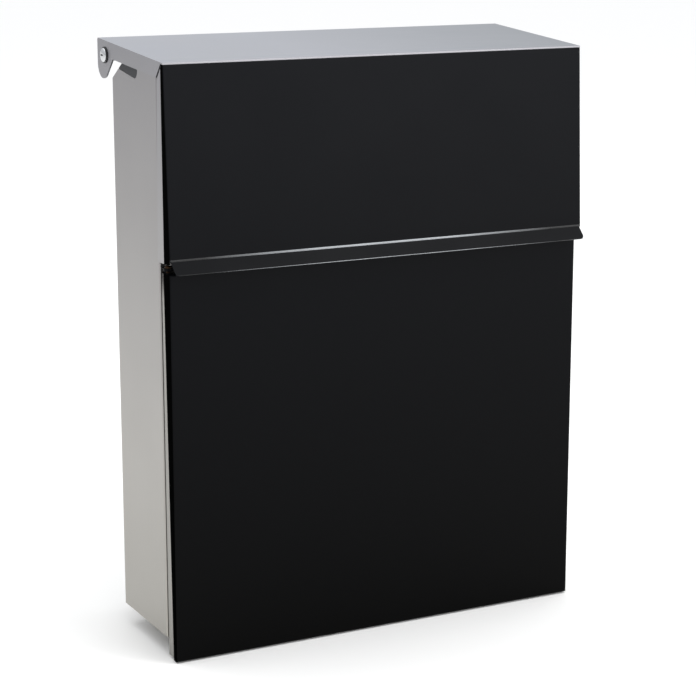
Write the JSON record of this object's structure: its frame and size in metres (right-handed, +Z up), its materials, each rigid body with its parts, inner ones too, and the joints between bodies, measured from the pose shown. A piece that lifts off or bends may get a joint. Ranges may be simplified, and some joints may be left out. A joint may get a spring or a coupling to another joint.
{
  "type": "wall mounted mailbox",
  "caption": "Slim stainless mailbox for a wall, with a black side-hinged door below a black flap that lifts with the sloping lid, and a cam lock behind the flap.",
  "frame": {"origin": "centre of the four wall fixing holes, on the wall's surface", "axes": "+Y into the wall, +Z up, +X to the right seen from the front; the front faces -Y"},
  "size_m": [0.3074, 0.1297, 0.395],
  "materials": {
    "stainless_box": "satin rolled stainless sheet",
    "stainless_lid": "satin rolled stainless sheet",
    "black_powder_coat": "smooth satin black powder coat",
    "galvanised_steel": "hot-dip galvanised",
    "zinc_fasteners": "bright zinc plate",
    "chromed_screws": "polished",
    "brass": "drawn",
    "nylon": "black nylon",
    "black_rubber": "matt moulded rubber"
  },
  "bodies": {
    "box": {"box_shell": "stainless_box", "bottom_tray": "stainless_box", "lock_apron": "stainless_box", "upper_wall_bracket": "galvanised_steel", "lower_wall_bracket": "galvanised_steel", "bracket_bolts": "zinc_fasteners", "bracket_nuts": "zinc_fasteners", "upper_hinge_lug": "black_powder_coat", "lower_hinge_lug": "black_powder_coat", "upper_hinge_pin": "brass", "lower_hinge_pin": "brass", "door_bumpers": "black_rubber", "lid_buffer_left": "black_rubber", "lid_buffer_right": "black_rubber", "pivot_screw_left": "chromed_screws", "pivot_screw_right": "chromed_screws", "pivot_sleeve_left": "nylon", "pivot_sleeve_right": "nylon", "pivot_nut_left": "zinc_fasteners", "pivot_nut_right": "zinc_fasteners", "lock_body": "chromed_screws", "lock_nut": "zinc_fasteners"},
    "lid": {"lid_cover": "stainless_lid", "flap_panel": "black_powder_coat", "pivot_bush_left": "nylon", "pivot_bush_right": "nylon"},
    "door": {"door_panel": "black_powder_coat", "door_tray": "stainless_box", "door_studs": "zinc_fasteners", "door_nuts": "zinc_fasteners", "door_hinge_shelf": "galvanised_steel", "hinge_bush": "nylon", "door_catch": "galvanised_steel"},
    "lock": {"lock_plug": "chromed_screws", "lock_cam": "galvanised_steel", "cam_screw": "zinc_fasteners"}
  },
  "joints": [
    {"name": "lid_hinge", "type": "hinge", "parent": "box", "child": "lid", "pos_m": [0, -0.019, 0.1845], "axis": [-1, 0, 0], "range_deg": [0, 80]},
    {"name": "door_hinge", "type": "hinge", "parent": "box", "child": "door", "pos_m": [-0.1464, -0.1073, 0], "axis": [0, 0, -1], "range_deg": [0, 90]},
    {"name": "lock_turn", "type": "hinge", "parent": "box", "child": "lock", "pos_m": [0, -0.1015, 0.078], "axis": [0, -1, 0], "range_deg": [0, 90]}
  ]
}
